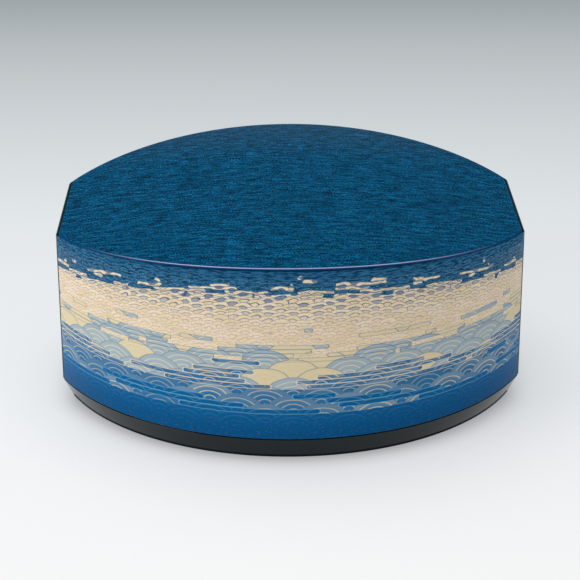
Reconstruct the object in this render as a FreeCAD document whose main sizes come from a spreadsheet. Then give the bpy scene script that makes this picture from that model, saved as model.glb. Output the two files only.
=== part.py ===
import FreeCAD, Part
import math
import os
from types import SimpleNamespace

import Sketcher

# Japanese writing box (suzuribako). The plan has two straight ends and a long curved side at
# the front and at the rear. A lid with an arched top slips over the whole body and stands on
# the plinth. Inside, a lift-out tray carries the inkstone, the water dropper, two capped
# brushes, a paper knife and an ink stick, above a compartment for paper.
#
# Axes: +X to the right along the box, +Y to the rear, +Z up, origin under the middle of the
# plinth. Lengths are millimetres. "Offset" is the distance inwards from the lid's outer face.

DIMENSIONS = {
    # Closed box: plan at the lid's outer face, and heights from the table.
    "box_width": 260,
    "box_depth": 244,
    "end_flat": 84,
    "box_height": 112.5,
    "crown_drop": 10,
    # Plinth, with a bevelled face, a low foot and an inner ledge for the walls and the board.
    "plinth_height": 14,
    "plinth_reveal": 0.5,
    "plinth_bevel": 4.8,
    "plinth_foot": 1.4,
    "plinth_ease": 0.4,
    "plinth_ledge_height": 7,
    "plinth_ledge_width": 4,
    # Lid.
    "lid_wall": 5,
    "lid_board": 6,
    "lid_bevel": 0.9,
    "lid_ease": 0.5,
    "lid_gap": 0.6,
    # Body walls and bottom board.
    "body_wall": 4.5,
    "body_ease": 0.6,
    "headroom": 6.5,
    "board_thickness": 5,
    # Ledge strips under the tray.
    "strip_width": 6,
    "strip_height": 7,
    # Tray.
    "tray_gap": 0.6,
    "tray_drop": 6,
    "tray_height": 24,
    "tray_floor": 3,
    "rim_wall": 3,
    "rim_ease": 0.6,
    "scoop_radius": 11,
    "divider_wall": 3,
    "divider_height": 15,
    "bed_thickness": 6,
    "bed_border": 14,
    "bed_gap": 0.6,
    "notch_radius": 9,
    # Inkstone: a sloped grinding surface that falls into a deep well at the rear.
    "stone_width": 70,
    "stone_length": 108,
    "stone_height": 15,
    "stone_corner": 3,
    "stone_ease": 0.8,
    "stone_rim": 5,
    "well_corner": 7,
    "land_depth": 1.6,
    "land_drop": 1.8,
    "land_length": 64,
    "shore_length": 9,
    "sea_depth": 9.5,
    "floor_bevel": 0.7,
    "sole_rim": 8,
    "sole_depth": 1.5,
    # Water dropper.
    "dropper_gap": 8,
    "dropper_width": 34,
    "dropper_height": 16,
    "dropper_bevel": 3,
    "dropper_wall": 1,
    "dropper_base": 1.2,
    "dropper_bore": 1.2,
    "lip_radius": 3,
    "lip_height": 0.8,
    "spout_radius": 2.4,
    "spout_height": 2.4,
    "spout_inset": 7.5,
    # Brushes, knife and ink stick in the side bays.
    "rest_height": 10,
    "rest_wall": 5,
    "rest_gap": 0.3,
    "rest_overhang": 2,
    "knife_rest_rear": 21,
    "knife_rest_front": 70,
    "tool_margin": 4,
    "tool_space": 6,
    "rear_margin": 12,
    "cap_gap": 0.3,
    "cap_wall": 1,
    "cap_end": 1.5,
    "cap_room": 1.5,
    "large_handle_length": 86,
    "large_handle_radius": 4.2,
    "large_ferrule_length": 8,
    "large_ferrule_radius": 4.7,
    "large_tuft_length": 34,
    "small_handle_length": 78,
    "small_handle_radius": 3,
    "small_ferrule_length": 7,
    "small_ferrule_radius": 3.4,
    "small_tuft_length": 26,
    "spigot_step": 0.9,
    "spigot_length": 4,
    "tuft_root_share": 0.3,
    "tuft_waist_share": 0.7,
    "tuft_tip": 0.4,
    "knife_handle_length": 84,
    "knife_handle_width": 12,
    "knife_handle_thickness": 5,
    "knife_handle_ease": 0.9,
    "knife_ferrule_length": 6,
    "knife_ferrule_wall": 0.8,
    "blade_length": 42,
    "blade_width": 8,
    "blade_belly_length": 14,
    "blade_thickness": 1.2,
    "blade_bevel": 0.45,
    "tang_length": 16,
    "tang_width": 4.4,
    "ink_length": 76,
    "ink_width": 20,
    "ink_height": 9,
    "ink_ease": 0.8,
    "ink_border": 2.5,
    "ink_panel_depth": 0.5,
    "ink_margin": 2,
}

# Waste that is cut away reaches this far past the solid, and so do the pads that it trims.
CLEAR = 12

# Edges are told apart by their places, within this distance.
TOLERANCE = 1e-4

# Brush tufts have this many flat sides.
TUFT_SIDES = 12

SIDES = ("front", "rear", "left", "right")


class Size:
    """A length with the spreadsheet formula that it comes from."""

    def __init__(self, formula, value):
        self.formula = formula
        self.value = value

    def __add__(self, other):
        other = as_size(other)
        return Size(f"({self.formula} + {other.formula})", self.value + other.value)

    def __sub__(self, other):
        other = as_size(other)
        return Size(f"({self.formula} - {other.formula})", self.value - other.value)

    def __mul__(self, other):
        other = as_size(other)
        return Size(f"({self.formula} * {other.formula})", self.value * other.value)

    def __truediv__(self, other):
        other = as_size(other)
        return Size(f"({self.formula} / {other.formula})", self.value / other.value)

    def __neg__(self):
        return as_size(0) - self


def as_size(length):
    """A plain number as a Size; a Size as it is."""
    if isinstance(length, Size):
        return length
    return Size(f"{length:g}", float(length))


def square(length):
    return length * length


def root(length):
    return Size(f"sqrt({length.formula})", math.sqrt(length.value))


def smaller(first, second):
    return Size(f"min({first.formula}; {second.formula})", min(first.value, second.value))


def make_sheet(doc):
    """Write the driving dimensions and return them as Sizes, one attribute for each alias."""
    sheet = doc.addObject("Spreadsheet::Sheet", "dims")
    for row, (alias, length) in enumerate(DIMENSIONS.items(), start=1):
        sheet.set(f"A{row}", alias)
        sheet.set(f"B{row}", str(length))
        sheet.setAlias(f"B{row}", alias)
    doc.recompute()
    sizes = {alias: Size(f"dims.{alias}", float(sheet.get(alias))) for alias in DIMENSIONS}
    return SimpleNamespace(**sizes)


doc = FreeCAD.newDocument("suzuribako")
dims = make_sheet(doc)
nodes = []

# ---------------------------------------------------------------------------------------------
# Plan: two straight ends, and two long arcs whose centres lie past the middle of the box.

half_width = dims.box_width / 2
half_depth = dims.box_depth / 2
arc_rise = (dims.box_depth - dims.end_flat) / 2
arc_radius = (square(half_width) + square(arc_rise)) / (arc_rise * 2)
arc_centre = arc_radius - half_depth


def reach_y(x, offset):
    """How far a long side stands from the middle of the box at x."""
    return root(square(arc_radius - offset) - square(x)) - arc_centre


def reach_x(y, offset):
    """How far the plan stretches to each side at y, end faces included."""
    on_arc = root(square(arc_radius - offset) - square(y + arc_centre))
    return smaller(on_arc, half_width - offset)


def corner(offset):
    """The plan's corner at an offset, in the quarter with positive x and y."""
    x = half_width - offset
    return x, reach_y(x, offset)


# Offsets, from the outside inwards, and levels, from the table upwards.
body_outer = dims.lid_wall + dims.lid_gap
body_inner = body_outer + dims.body_wall
rim_outer = body_inner + dims.tray_gap
rim_inner = rim_outer + dims.rim_wall

arch_radius = (square(half_width) + square(dims.crown_drop)) / (dims.crown_drop * 2)
body_top = dims.box_height - dims.crown_drop - dims.lid_board - dims.headroom
tray_level = body_top - dims.tray_drop - dims.tray_height
contents_level = tray_level + dims.tray_floor
lid_height = dims.box_height - dims.plinth_height

# ---------------------------------------------------------------------------------------------
# Sketch and feature helpers.


def new_body(name, x=None, y=None, z=None):
    """A body named after its node, standing at the given place."""
    body = doc.addObject("PartDesign::Body", name)
    for axis, place in (("x", x), ("y", y), ("z", z)):
        if place is not None:
            body.setExpression(f"Placement.Base.{axis}", place.formula)
    return body


def node(name, x=None, y=None, z=None):
    """A body that is a separate piece of the box."""
    body = new_body(name, x, y, z)
    body.Label = name
    nodes.append(body)
    return body


def new_sketch(body, name, plane, height=None):
    """A sketch on one of the body's own origin planes, or at a height above it."""
    sketch = body.newObject("Sketcher::SketchObject", f"{body.Name}_{name}")
    origin = [feature for feature in body.Origin.OriginFeatures if feature.Role == plane][0]
    sketch.AttachmentSupport = [(origin, "")]
    sketch.MapMode = "FlatFace"
    if height is not None:
        sketch.setExpression("AttachmentOffset.Base.z", height.formula)
    return sketch


def fix(sketch, kind, geometry, point, length):
    """Hold a point's distance from the origin, or a radius, at a size."""
    if kind == "Radius":
        index = sketch.addConstraint(Sketcher.Constraint(kind, geometry, length.value))
    else:
        index = sketch.addConstraint(Sketcher.Constraint(kind, geometry, point, length.value))
    sketch.setExpression(f"Constraints[{index}]", length.formula)


def place_point(sketch, geometry, point, x, y):
    fix(sketch, "DistanceX", geometry, point, as_size(x))
    fix(sketch, "DistanceY", geometry, point, as_size(y))


def arc_between(start, end, radius, turn):
    """The shorter arc from start to end; turn is +1 counter-clockwise, -1 clockwise."""
    chord = end - start
    middle = (start + end) * 0.5
    left = FreeCAD.Vector(-chord.y, chord.x, 0).normalize()
    centre = middle + left * turn * math.sqrt(radius**2 - (chord.Length / 2) ** 2)
    first, last = (start, end) if turn > 0 else (end, start)
    circle = Part.Circle(centre, FreeCAD.Vector(0, 0, 1), radius)
    return Part.ArcOfCircle(circle, circle.parameter(first), circle.parameter(last))


def draw(sketch, points, arcs=None):
    """A closed outline; arcs gives (radius, turn) for each edge that isn't straight."""
    arcs = arcs or {}
    points = [(as_size(x), as_size(y)) for x, y in points]
    spots = [FreeCAD.Vector(x.value, y.value, 0) for x, y in points]
    ends = []
    for edge, start in enumerate(spots):
        end = spots[(edge + 1) % len(spots)]
        if edge in arcs:
            radius, turn = arcs[edge]
            geometry = sketch.addGeometry(arc_between(start, end, radius.value, turn))
            ends.append((geometry, 1, 2) if turn > 0 else (geometry, 2, 1))
        else:
            geometry = sketch.addGeometry(Part.LineSegment(start, end))
            ends.append((geometry, 1, 2))
    for edge, (geometry, first, last) in enumerate(ends):
        follower, follower_first, _ = ends[(edge + 1) % len(ends)]
        joined = Sketcher.Constraint("Coincident", geometry, last, follower, follower_first)
        sketch.addConstraint(joined)
        place_point(sketch, geometry, first, *points[edge])
        if edge in arcs:
            fix(sketch, "Radius", geometry, 0, arcs[edge][0])


def draw_rectangle(sketch, x_low, x_high, y_low, y_high):
    draw(sketch, [(x_low, y_low), (x_high, y_low), (x_high, y_high), (x_low, y_high)])


def draw_bevelled_square(sketch, half, bevel):
    """A square about the origin with its corners taken off."""
    inner = half - bevel
    quarter = [(half, inner), (inner, half)]
    points = []
    for _ in range(4):
        points += quarter
        quarter = [(-y, x) for x, y in quarter]
    draw(sketch, points)


def draw_circle(sketch, x, y, radius):
    """A whole circle about (x, y)."""
    x, y, radius = as_size(x), as_size(y), as_size(radius)
    centre = FreeCAD.Vector(x.value, y.value, 0)
    geometry = sketch.addGeometry(Part.Circle(centre, FreeCAD.Vector(0, 0, 1), radius.value))
    place_point(sketch, geometry, 3, x, y)
    fix(sketch, "Radius", geometry, 0, radius)


def draw_polygon(sketch, radius, sides):
    """A regular polygon about the origin, with no corner on an axis."""
    angles = [math.tau * (side + 0.5) / sides for side in range(sides)]
    draw(sketch, [(radius * math.cos(angle), radius * math.sin(angle)) for angle in angles])


def draw_plan(sketch, offset):
    """The box's plan at an offset: straight ends and two long arcs."""
    x, y = corner(offset)
    side = (arc_radius - offset, 1)
    draw(sketch, [(-x, -y), (x, -y), (x, y), (-x, y)], {0: side, 2: side})


def draw_frame_outside(sketch, offset):
    """All that lies outside the plan at an offset."""
    x = half_width + CLEAR
    y = half_depth + CLEAR
    draw_rectangle(sketch, -x, x, -y, y)
    draw_plan(sketch, offset)


def pad(body, sketch, length, symmetric=False):
    feature = body.newObject("PartDesign::Pad", f"{sketch.Name}_pad")
    feature.Profile = sketch
    if symmetric:
        feature.SideType = "Symmetric"
    feature.setExpression("Length", as_size(length).formula)
    doc.recompute()
    return feature


def revolve(body, sketch, axis, angle=360):
    """Revolve a section about one of its sketch's axes, half the angle to each side."""
    feature = body.newObject("PartDesign::Revolution", f"{sketch.Name}_turn")
    feature.Profile = sketch
    feature.ReferenceAxis = (sketch, [axis])
    feature.Angle = angle
    feature.Midplane = angle < 360
    doc.recompute()
    return feature


def cut(body, sketch, depth=None, reversed_cut=False):
    """Cut a sketch's outlines through the whole body, or down to a depth."""
    before = body.Shape.Volume
    feature = body.newObject("PartDesign::Pocket", f"{sketch.Name}_cut")
    feature.Profile = sketch
    if depth is None:
        feature.SideType = "Symmetric"
        feature.Type = "ThroughAll"
    else:
        feature.Reversed = reversed_cut
        feature.setExpression("Length", depth.formula)
    doc.recompute()
    if not body.Shape.Volume < before:
        raise RuntimeError(f"{sketch.Name} cuts nothing")
    return feature


def repeat_round(body, feature, axis, count):
    """Repeat a feature round one of its sketch's axes."""
    pattern = body.newObject("PartDesign::PolarPattern", f"{feature.Name}_round")
    pattern.Originals = [feature]
    pattern.Axis = (feature.Profile[0], [axis])
    pattern.Angle = 360
    pattern.Occurrences = count
    body.Tip = pattern
    doc.recompute()


def edge_names(shape, chosen):
    """Names of the edges for which chosen(edge) holds."""
    return [f"Edge{index}" for index, edge in enumerate(shape.Edges, start=1) if chosen(edge)]


def soften(body, kind, size, chosen):
    """Round (Fillet) or bevel (Chamfer) the chosen edges of the body."""
    base = body.Tip
    feature = body.newObject(f"PartDesign::{kind}", f"{body.Name}_{kind.lower()}")
    feature.Base = (base, edge_names(base.Shape, chosen))
    feature.setExpression("Radius" if kind == "Fillet" else "Size", size.formula)
    doc.recompute()
    return feature


def is_vertical(edge):
    return max(edge.BoundBox.XLength, edge.BoundBox.YLength) < TOLERANCE


def at_height(edge, height):
    box = edge.BoundBox
    return max(abs(box.ZMin - height), abs(box.ZMax - height)) < TOLERANCE


# ---------------------------------------------------------------------------------------------
# Mitred mouldings: the plinth, the walls, the strips and the tray rim all run round the plan
# as four sides of one section, two turned about the arc centres and two straight.


def mitre_line(outer, inner):
    """The mitre in one quarter of the plan, drawn on past both edges of the moulding."""
    x_out, y_out = corner(outer)
    x_in, y_in = corner(inner)
    step_x, step_y = x_out - x_in, y_out - y_in
    return (x_out + step_x, y_out + step_y), (x_in - step_x, y_in - step_y)


def draw_mitre_waste(sketch, side, outer, inner):
    """Two outlines that cover all of a side's moulding beyond its mitres."""
    (x_out, y_out), (x_in, y_in) = mitre_line(outer, inner)
    far = arc_radius + CLEAR
    for hand in (-1, 1):
        if side in ("front", "rear"):
            facing = -1 if side == "front" else 1
            points = [(x_out, y_out), (x_in, y_in), (x_in, -far), (far, -far), (far, y_out)]
            draw(sketch, [(x * hand, y * facing) for x, y in points])
        else:
            facing = -1 if side == "left" else 1
            points = [(x_in, y_in), (x_out, y_out), (x_out, far), (x_in, far)]
            draw(sketch, [(x * facing, y * hand) for x, y in points])


def moulding_side(name, side, level, section, outer, inner):
    """One mitred side of a moulding whose section is a list of (offset, height) points."""
    body = node(f"{name}_{side}", z=level)
    if side in ("front", "rear"):
        facing = -1 if side == "front" else 1
        sketch = new_sketch(body, "section", "YZ_Plane")
        draw(sketch, [((half_depth - offset) * facing, height) for offset, height in section])
        axis_y = arc_centre * -facing
        axis = sketch.addGeometry(
            Part.LineSegment(
                FreeCAD.Vector(axis_y.value, 0, 0), FreeCAD.Vector(axis_y.value, CLEAR, 0)
            ),
            True,
        )
        place_point(sketch, axis, 1, axis_y, 0)
        place_point(sketch, axis, 2, axis_y, CLEAR)
        revolve(body, sketch, "Axis0", 180)
    else:
        facing = -1 if side == "left" else 1
        sketch = new_sketch(body, "section", "XZ_Plane")
        draw(sketch, [((half_width - offset) * facing, height) for offset, height in section])
        pad(body, sketch, (corner(outer)[1] + CLEAR) * 2, symmetric=True)
    waste = new_sketch(body, "mitre", "XY_Plane")
    draw_mitre_waste(waste, side, outer, inner)
    cut(body, waste)
    return body


def moulding(name, level, section, outer, inner):
    """All four sides of a moulding, by side."""
    return {
        side: moulding_side(name, side, level, section, outer, inner) for side in SIDES
    }


def plan_board(name, level, offset, thickness):
    """A flat board with the box's plan."""
    body = node(name, z=level)
    sketch = new_sketch(body, "plan", "XY_Plane")
    draw_plan(sketch, offset)
    pad(body, sketch, thickness)
    return body


def trim_to_plan(body, offset):
    sketch = new_sketch(body, "trim", "XY_Plane")
    draw_frame_outside(sketch, offset)
    cut(body, sketch)


# ---------------------------------------------------------------------------------------------
# Body: plinth, walls, bottom board and the strips that carry the tray.


def make_plinth():
    foot = dims.plinth_reveal + dims.plinth_bevel
    ledge_inner = body_inner + dims.plinth_ledge_width
    section = [
        (foot, 0),
        (ledge_inner, 0),
        (ledge_inner, dims.plinth_ledge_height),
        (body_outer, dims.plinth_ledge_height),
        (body_outer, dims.plinth_height),
        (dims.plinth_reveal + dims.plinth_ease, dims.plinth_height),
        (dims.plinth_reveal, dims.plinth_height - dims.plinth_ease),
        (foot, dims.plinth_foot),
    ]
    moulding("plinth", as_size(0), section, dims.plinth_reveal, ledge_inner)


def make_body():
    height = body_top - dims.plinth_ledge_height
    section = [
        (body_outer, 0),
        (body_inner, 0),
        (body_inner, height),
        (body_outer + dims.body_ease, height),
        (body_outer, height - dims.body_ease),
    ]
    moulding("body_wall", dims.plinth_ledge_height, section, body_outer, body_inner)
    plan_board("bottom_board", dims.plinth_ledge_height, body_inner, dims.board_thickness)


def make_tray_strips():
    """A ledge on each end wall, on which the tray stands."""
    inner = body_inner + dims.strip_width
    section = [
        (body_inner, 0),
        (inner, 0),
        (inner, dims.strip_height),
        (body_inner, dims.strip_height),
    ]
    for side in ("left", "right"):
        level = tray_level - dims.strip_height
        moulding_side("tray_strip", side, level, section, body_inner, inner)


# ---------------------------------------------------------------------------------------------
# Lid: four walls under one arched board.


def arch_height(radius, x):
    """Height of an arch about the lid's arch axis, above the lid's lower edge."""
    return lid_height - arch_radius + root(square(radius) - square(x))


def cut_to_arch(body, radius):
    """Take off all that stands above an arch."""
    x = half_width + CLEAR
    shoulder = arch_height(radius, x)
    sketch = new_sketch(body, "arch", "XZ_Plane")
    top = lid_height + CLEAR
    draw(sketch, [(-x, shoulder), (x, shoulder), (x, top), (-x, top)], {0: (radius, -1)})
    cut(body, sketch)


def make_lid_walls():
    section = [
        (dims.lid_ease, 0),
        (dims.lid_wall, 0),
        (dims.lid_wall, lid_height),
        (0, lid_height),
        (0, dims.lid_ease),
    ]
    walls = moulding("lid_wall", dims.plinth_height, section, as_size(0), dims.lid_wall)
    for wall in walls.values():
        cut_to_arch(wall, arch_radius - dims.lid_board)


def make_lid_board():
    body = node("lid_top_board", z=dims.plinth_height)
    under_radius = arch_radius - dims.lid_board
    x = half_width + CLEAR
    low, high = arch_height(under_radius, x), arch_height(arch_radius, x)
    sketch = new_sketch(body, "strip", "XZ_Plane")
    draw(
        sketch,
        [(-x, low), (x, low), (x, high), (-x, high)],
        {0: (under_radius, -1), 2: (arch_radius, 1)},
    )
    pad(body, sketch, dims.box_depth + CLEAR, symmetric=True)
    trim_to_plan(body, as_size(0))
    top = max(body.Tip.Shape.Faces, key=lambda face: face.CenterOfMass.z)
    soften(
        body,
        "Chamfer",
        dims.lid_bevel,
        lambda edge: any(edge.isSame(rim) for rim in top.Edges),
    )


# ---------------------------------------------------------------------------------------------
# Tray: floor, rim, two dividers, the bed round the inkstone and the rests for the tools.

bed_half = dims.stone_width / 2 + dims.bed_gap + dims.bed_border
bay_inner = bed_half + dims.divider_wall
group_length = dims.stone_length + dims.dropper_gap + dims.dropper_width
stone_y = (dims.stone_length - group_length) / 2
dropper_y = (group_length - dims.dropper_width) / 2
tool_height = dims.tray_floor + dims.rest_height


def make_tray_rim():
    height = dims.tray_height
    section = [
        (rim_outer, 0),
        (rim_inner, 0),
        (rim_inner, height - dims.rim_ease),
        (rim_inner - dims.rim_ease, height),
        (rim_outer, height),
    ]
    rims = moulding("tray_rim", tray_level, section, rim_outer, rim_inner)
    for side in ("left", "right"):
        scoop = new_sketch(rims[side], "scoop", "YZ_Plane")
        draw_circle(scoop, 0, height, dims.scoop_radius)
        cut(rims[side], scoop)


def tray_block(name, x_low, x_high, y_low, y_high, height):
    """A block that stands on the tray floor."""
    body = node(name, z=contents_level)
    sketch = new_sketch(body, "plan", "XY_Plane")
    draw_rectangle(sketch, x_low, x_high, y_low, y_high)
    pad(body, sketch, height)
    return body


def make_dividers():
    for side, facing in (("left", -1), ("right", 1)):
        faces = sorted([bed_half * facing, bay_inner * facing], key=lambda face: face.value)
        y = half_depth - dims.lid_wall
        divider = tray_block(f"tray_divider_{side}", *faces, -y, y, dims.divider_height)
        trim_to_plan(divider, rim_inner)


def make_stone_bed():
    y = half_depth - dims.lid_wall
    bed = tray_block("inkstone_bed", -bed_half, bed_half, -y, y, dims.bed_thickness)
    trim_to_plan(bed, rim_inner)
    half_seat = dims.stone_width / 2 + dims.bed_gap
    half_length = dims.stone_length / 2 + dims.bed_gap
    seat = new_sketch(bed, "stone_seat", "XY_Plane")
    draw_rectangle(
        seat, -half_seat, half_seat, stone_y - half_length, stone_y + half_length
    )
    cut(bed, seat)
    notches = new_sketch(bed, "finger_notches", "XY_Plane")
    for facing in (-1, 1):
        draw_circle(notches, half_seat * facing, stone_y, dims.notch_radius)
    cut(bed, notches)
    half = dims.dropper_width / 2 + dims.bed_gap
    well = new_sketch(bed, "dropper_seat", "XY_Plane")
    draw_rectangle(well, -half, half, dropper_y - half, dropper_y + half)
    cut(bed, well)


def tool_rest(name, x_near, x_far, y):
    """A strip across a bay, and an empty sketch for its notches."""
    low, high = sorted([x_near, x_far], key=lambda face: face.value)
    half = dims.rest_wall / 2
    rest = tray_block(name, low, high, y - half, y + half, dims.rest_height)
    return rest, new_sketch(rest, "notches", "XZ_Plane")


# ---------------------------------------------------------------------------------------------
# Inkstone.


def make_stone_cavity():
    """The hollow of the inkstone as a solid: land, shore and sea, open at the top."""
    cavity = new_body("stone_cavity")
    x = dims.stone_width / 2 - dims.stone_rim
    y = dims.stone_length / 2 - dims.stone_rim
    sea_floor = dims.stone_height - dims.sea_depth
    plan = new_sketch(cavity, "plan", "XY_Plane", sea_floor)
    draw_rectangle(plan, -x, x, -y, y)
    pad(cavity, plan, dims.sea_depth + CLEAR)
    soften(cavity, "Fillet", dims.well_corner, is_vertical)
    land_front = dims.stone_height - dims.land_depth
    land_rear = land_front - dims.land_drop
    land_end = dims.land_length - y
    sea_start = land_end + dims.shore_length
    under = sea_floor - CLEAR
    slope = new_sketch(cavity, "slope", "YZ_Plane")
    draw(
        slope,
        [
            (-y - CLEAR, land_front + dims.land_drop * CLEAR / dims.land_length),
            (-y - CLEAR, under),
            (sea_start, under),
            (sea_start, sea_floor),
            (land_end, land_rear),
        ],
    )
    cut(cavity, slope)
    mouth = dims.stone_height.value
    soften(
        cavity,
        "Chamfer",
        dims.floor_bevel,
        lambda edge: edge.BoundBox.ZMax < mouth and not is_vertical(edge),
    )
    return cavity


def make_inkstone():
    stone = node("inkstone", y=stone_y, z=contents_level)
    x = dims.stone_width / 2
    y = dims.stone_length / 2
    plan = new_sketch(stone, "plan", "XY_Plane")
    draw_rectangle(plan, -x, x, -y, y)
    pad(stone, plan, dims.stone_height)
    soften(stone, "Fillet", dims.stone_corner, is_vertical)
    sole = new_sketch(stone, "sole", "XY_Plane")
    x, y = x - dims.sole_rim, y - dims.sole_rim
    draw_rectangle(sole, -x, x, -y, y)
    cut(stone, sole, dims.sole_depth, reversed_cut=True)
    carve = stone.newObject("PartDesign::Boolean", "inkstone_carve")
    carve.Type = "Cut"
    carve.setObjects([make_stone_cavity()])
    stone.Tip = carve
    doc.recompute()
    top = dims.stone_height.value
    soften(stone, "Chamfer", dims.stone_ease, lambda edge: at_height(edge, top))


# ---------------------------------------------------------------------------------------------
# Water dropper.


def make_dropper():
    half, wall, bevel = dims.dropper_width / 2, dims.dropper_wall, dims.dropper_bevel
    height = dims.dropper_height
    shell = node("dropper_shell", y=dropper_y, z=contents_level)
    plan = new_sketch(shell, "plan", "XY_Plane", dims.dropper_base)
    draw_rectangle(plan, -half, half, -half, half)
    pad(shell, plan, height - dims.dropper_base)
    floor = dims.dropper_base.value
    soften(shell, "Chamfer", bevel, lambda edge: not at_height(edge, floor))
    for reach, roof in ((half - bevel, height - wall), (half - wall, height - bevel - wall)):
        hollow = new_sketch(shell, "hollow", "XY_Plane", dims.dropper_base)
        draw_bevelled_square(hollow, reach, bevel)
        cut(shell, hollow, roof - dims.dropper_base, reversed_cut=True)
    corner_place = dims.spout_inset - half
    holes = (
        (as_size(0), dims.lip_radius, dims.lip_height),
        (corner_place, dims.spout_radius, dims.spout_height),
    )
    for place, radius, rise in holes:
        collar = new_sketch(shell, "collar", "XY_Plane", height - wall)
        draw_circle(collar, place, place, radius)
        pad(shell, collar, rise + wall)
        bore = new_sketch(shell, "bore", "XY_Plane")
        draw_circle(bore, place, place, dims.dropper_bore)
        cut(shell, bore)
    base = node("dropper_base", y=dropper_y, z=contents_level)
    plate = new_sketch(base, "plan", "XY_Plane")
    draw_bevelled_square(plate, half, bevel)
    pad(base, plate, dims.dropper_base)


# ---------------------------------------------------------------------------------------------
# Tools lie along Y in the side bays, with the middle of their rear end at their own origin.


def turned(name, place, points):
    """A piece turned about the tool's axis from (radius, distance from the rear end)."""
    body = node(name, *place)
    sketch = new_sketch(body, "section", "XY_Plane")
    draw(sketch, [(radius, -along) for radius, along in points])
    revolve(body, sketch, "V_Axis")
    return body


def tool_place(x, outer_radius, facing):
    """Place of a tool in a side bay, near the rear rim."""
    rear = reach_y(x + outer_radius, rim_inner) - dims.rear_margin
    return x * facing, rear, tray_level + tool_height


def brush_sizes(name):
    """Sizes of one brush, the radii and lengths that its pieces share."""
    handle_length = getattr(dims, f"{name}_handle_length")
    ferrule_radius = getattr(dims, f"{name}_ferrule_radius")
    ferrule_length = getattr(dims, f"{name}_ferrule_length")
    tuft_length = getattr(dims, f"{name}_tuft_length")
    cap_inner = ferrule_radius + dims.cap_gap
    front = handle_length + ferrule_length + tuft_length + dims.cap_room + dims.cap_end
    return SimpleNamespace(
        handle_length=handle_length,
        handle_radius=getattr(dims, f"{name}_handle_radius"),
        ferrule_length=ferrule_length,
        ferrule_radius=ferrule_radius,
        tuft_length=tuft_length,
        cap_inner=cap_inner,
        cap_outer=cap_inner + dims.cap_wall,
        front=front,
    )


def make_tuft(name, place, radius, root, mouth, tip):
    """A faceted tuft, held from its root to the ferrule's mouth, then falling to its tip."""
    tuft = node(name, *place)
    outline = new_sketch(tuft, "outline", "XZ_Plane", root)
    draw_polygon(outline, radius, TUFT_SIDES)
    pad(tuft, outline, tip - root)
    side = radius * math.cos(math.pi / TUFT_SIDES)
    belly_at = mouth + (tip - mouth) * dims.tuft_root_share
    waist_at = mouth + (tip - mouth) * dims.tuft_waist_share
    flank = new_sketch(tuft, "flank", "YZ_Plane")
    draw(
        flank,
        [
            (-belly_at, side),
            (-belly_at, side + CLEAR),
            (-tip - CLEAR, side + CLEAR),
            (-tip - CLEAR, dims.tuft_tip),
            (-tip, dims.tuft_tip),
            (-waist_at, side * dims.tuft_waist_share),
        ],
    )
    repeat_round(tuft, cut(tuft, flank), "H_Axis", TUFT_SIDES)


def make_brush(name, brush, x):
    place = tool_place(x, brush.cap_outer, 1)
    spigot = brush.handle_radius - dims.spigot_step
    shoulder = brush.handle_length
    turned(
        f"brush_{name}_handle",
        place,
        [
            (0, 0),
            (spigot, 0),
            (brush.handle_radius, dims.spigot_step),
            (brush.handle_radius, shoulder),
            (spigot, shoulder),
            (spigot, shoulder + dims.spigot_length),
            (0, shoulder + dims.spigot_length),
        ],
    )
    ferrule_end = shoulder + brush.ferrule_length
    turned(
        f"brush_{name}_ferrule",
        place,
        [
            (spigot, shoulder),
            (brush.ferrule_radius, shoulder),
            (brush.ferrule_radius, ferrule_end),
            (spigot, ferrule_end),
        ],
    )
    tip = ferrule_end + brush.tuft_length
    make_tuft(f"brush_{name}_tuft", place, spigot, shoulder + dims.spigot_length, ferrule_end, tip)
    turned(
        f"brush_{name}_cap",
        place,
        [
            (brush.cap_inner, shoulder),
            (brush.cap_outer, shoulder),
            (brush.cap_outer, brush.front),
            (0, brush.front),
            (0, brush.front - dims.cap_end),
            (brush.cap_inner, brush.front - dims.cap_end),
        ],
    )


def make_knife(x):
    place = tool_place(x, dims.knife_handle_width / 2, -1)
    length = dims.knife_handle_length
    ferrule_end = length + dims.knife_ferrule_length
    half_width, half_thick = dims.knife_handle_width / 2, dims.knife_handle_thickness / 2
    handle = node("knife_handle", *place)
    section = new_sketch(handle, "section", "XZ_Plane")
    draw_rectangle(section, -half_width, half_width, -half_thick, half_thick)
    pad(handle, section, length)
    soften(handle, "Chamfer", dims.knife_handle_ease, lambda edge: True)
    ferrule = node("knife_ferrule", *place)
    ring = new_sketch(ferrule, "section", "XZ_Plane", length)
    draw_rectangle(ring, -half_width, half_width, -half_thick, half_thick)
    half_width = half_width - dims.knife_ferrule_wall
    half_thick = half_thick - dims.knife_ferrule_wall
    draw_rectangle(ring, -half_width, half_width, -half_thick, half_thick)
    pad(ferrule, ring, dims.knife_ferrule_length)
    spigot = new_sketch(handle, "spigot", "XZ_Plane")
    draw_rectangle(spigot, -half_width, half_width, -half_thick, half_thick)
    pad(handle, spigot, ferrule_end)
    make_blade(handle, place, ferrule_end)


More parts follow.
